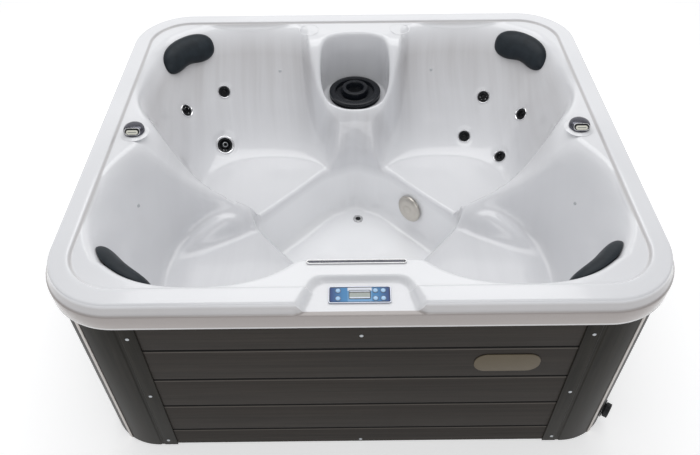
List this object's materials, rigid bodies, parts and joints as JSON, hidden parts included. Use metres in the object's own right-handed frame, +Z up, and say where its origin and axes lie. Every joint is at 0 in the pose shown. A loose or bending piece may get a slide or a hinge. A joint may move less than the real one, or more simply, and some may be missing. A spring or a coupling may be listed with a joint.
{
  "type": "hot tub",
  "caption": "Square hot tub: moulded acrylic shell with contoured corner seats round a footwell, head pillows, jets, waterfall, filter, diverters and a clad cabinet.",
  "frame": {"origin": "bottom centre of the tub, under the middle of the base tray", "axes": "+X to the right and +Y to the back as seen from the control panel's side, +Z up"},
  "size_m": [1.85, 1.63, 0.8526],
  "materials": {
    "black_plastic": "moulded",
    "blue_button": "moulded",
    "brown_grey_boards": "brushed wood-grain boards",
    "chrome": "polished",
    "dark_corner_cover": "fine grained",
    "display_window": "clear over grey",
    "filter_paper": "pleated",
    "galvanised_steel": "galvanised",
    "light_trim": "satin",
    "motor_paint": "satin",
    "pearl_acrylic": "polished marbled acrylic",
    "satin_nickel": "satin champagne",
    "slate_pillow": "smooth skinned foam",
    "white_plastic": "moulded"
  },
  "bodies": {
    "tub": {"acrylic_shell": "pearl_acrylic", "base_tray": "black_plastic", "control_box": "white_plastic", "corner_cover_front_left": "dark_corner_cover", "corner_cover_front_right": "dark_corner_cover", "corner_cover_rear_left": "dark_corner_cover", "corner_cover_rear_right": "dark_corner_cover", "corner_trim_front_left": "light_trim", "corner_trim_front_right": "light_trim", "corner_trim_rear_left": "light_trim", "corner_trim_rear_right": "light_trim", "display_window": "display_window", "diverter_valve_left": "white_plastic", "diverter_valve_right": "white_plastic", "drain_valve": "black_plastic", "filter_canister": "black_plastic", "floor_drain": "chrome", "front_panel": "brown_grey_boards", "heater": "galvanised_steel", "jet_body_1": "white_plastic", "jet_body_2": "white_plastic", "jet_body_3": "white_plastic", "jet_body_4": "white_plastic", "jet_body_5": "white_plastic", "jet_body_6": "white_plastic", "jet_body_7": "white_plastic", "left_panel": "brown_grey_boards", "panel_bezel": "white_plastic", "pillow_front_left": "slate_pillow", "pillow_front_right": "slate_pillow", "pillow_rear_left": "slate_pillow", "pillow_rear_right": "slate_pillow", "pump_motor": "motor_paint", "pump_wet_end": "black_plastic", "rear_panel": "brown_grey_boards", "right_panel": "brown_grey_boards", "steel_frame": "galvanised_steel", "suction_body": "black_plastic", "suction_cover": "satin_nickel", "waterfall_spout": "chrome"},
    "diverter_left": {"diverter_knob_left": "chrome"},
    "diverter_right": {"diverter_knob_right": "chrome"},
    "filter": {"filter_lid": "black_plastic", "filter_cartridge": "filter_paper"},
    "drain_tap": {"drain_cap": "black_plastic"},
    "nozzle": {"jet_nozzle": "black_plastic"},
    "button_1": {"button_1": "blue_button"},
    "button_2": {"button_2": "blue_button"},
    "button_3": {"button_3": "blue_button"},
    "button_4": {"button_4": "blue_button"},
    "button_5": {"button_5": "blue_button"},
    "button_6": {"button_6": "blue_button"},
    "jet_1": {"jet_face_1": "chrome"},
    "jet_2": {"jet_face_2": "chrome"},
    "jet_3": {"jet_face_3": "chrome"},
    "jet_4": {"jet_face_4": "chrome"},
    "jet_5": {"jet_face_5": "chrome"},
    "jet_6": {"jet_face_6": "chrome"},
    "jet_7": {"jet_face_7": "chrome"}
  },
  "joints": [
    {"name": "diverter_left_turn", "type": "hinge", "parent": "tub", "child": "diverter_left", "pos_m": [-0.783, -0.022, 0.8266], "axis": [0, 0, 1], "range_deg": [-90, 90]},
    {"name": "diverter_right_turn", "type": "hinge", "parent": "tub", "child": "diverter_right", "pos_m": [0.783, -0.022, 0.8266], "axis": [0, 0, 1], "range_deg": [-90, 90]},
    {"name": "filter_lift", "type": "slide", "parent": "tub", "child": "filter", "axis": [0, 0, 1], "range_m": [0, 0.3]},
    {"name": "button_1_press", "type": "slide", "parent": "tub", "child": "button_1", "axis": [0, 0.0995, -0.995], "range_m": [0, 0.001], "stiffness_N_per_m": 400},
    {"name": "button_2_press", "type": "slide", "parent": "tub", "child": "button_2", "axis": [0, 0.0995, -0.995], "range_m": [0, 0.001], "stiffness_N_per_m": 400},
    {"name": "button_3_press", "type": "slide", "parent": "tub", "child": "button_3", "axis": [0, 0.0995, -0.995], "range_m": [0, 0.001], "stiffness_N_per_m": 400},
    {"name": "button_4_press", "type": "slide", "parent": "tub", "child": "button_4", "axis": [0, 0.0995, -0.995], "range_m": [0, 0.001], "stiffness_N_per_m": 400},
    {"name": "button_5_press", "type": "slide", "parent": "tub", "child": "button_5", "axis": [0, 0.0995, -0.995], "range_m": [0, 0.001], "stiffness_N_per_m": 400},
    {"name": "button_6_press", "type": "slide", "parent": "tub", "child": "button_6", "axis": [0, 0.0995, -0.995], "range_m": [0, 0.001], "stiffness_N_per_m": 400},
    {"name": "jet_1_turn", "type": "hinge", "parent": "tub", "child": "jet_1", "pos_m": [-0.56702, 0.54504, 0.60776], "axis": [0.2501, -0.7057, 0.6629], "range_deg": [-75, 75]},
    {"name": "jet_2_turn", "type": "hinge", "parent": "tub", "child": "jet_2", "pos_m": [-0.70898, 0.418, 0.6015], "axis": [0.7358, -0.3744, 0.5643], "range_deg": [-75, 75]},
    {"name": "jet_3_turn", "type": "hinge", "parent": "tub", "child": "jet_3", "pos_m": [0.55801, 0.524, 0.58197], "axis": [-0.2448, -0.7075, 0.6629], "range_deg": [-75, 75]},
    {"name": "jet_4_turn", "type": "hinge", "parent": "tub", "child": "jet_4", "pos_m": [0.69897, 0.40104, 0.5772], "axis": [-0.7351, -0.3754, 0.5645], "range_deg": [-75, 75]},
    {"name": "jet_5_turn", "type": "hinge", "parent": "tub", "child": "jet_5", "pos_m": [0.47702, 0.41904, 0.44948], "axis": [-0.123, -0.646, 0.7534], "range_deg": [-75, 75]},
    {"name": "jet_6_turn", "type": "hinge", "parent": "tub", "child": "jet_6", "pos_m": [0.61698, 0.306, 0.42638], "axis": [-0.5084, -0.3676, 0.7787], "range_deg": [-75, 75]},
    {"name": "jet_7_turn", "type": "hinge", "parent": "tub", "child": "jet_7", "pos_m": [-0.56502, 0.382, 0.4449], "axis": [0.3242, -0.5633, 0.76], "range_deg": [-75, 75]},
    {"name": "nozzle_tilt", "type": "hinge", "parent": "jet_7", "child": "nozzle", "pos_m": [-0.56988, 0.39045, 0.4335], "axis": [-0.8667, -0.4989, 0], "range_deg": [-15, 15]},
    {"name": "drain_cap_turn", "type": "hinge", "parent": "tub", "child": "drain_tap", "pos_m": [0.87556, -0.69902, 0.08], "axis": [0.8192, -0.5736, 0], "range_deg": [0, 90]}
  ]
}
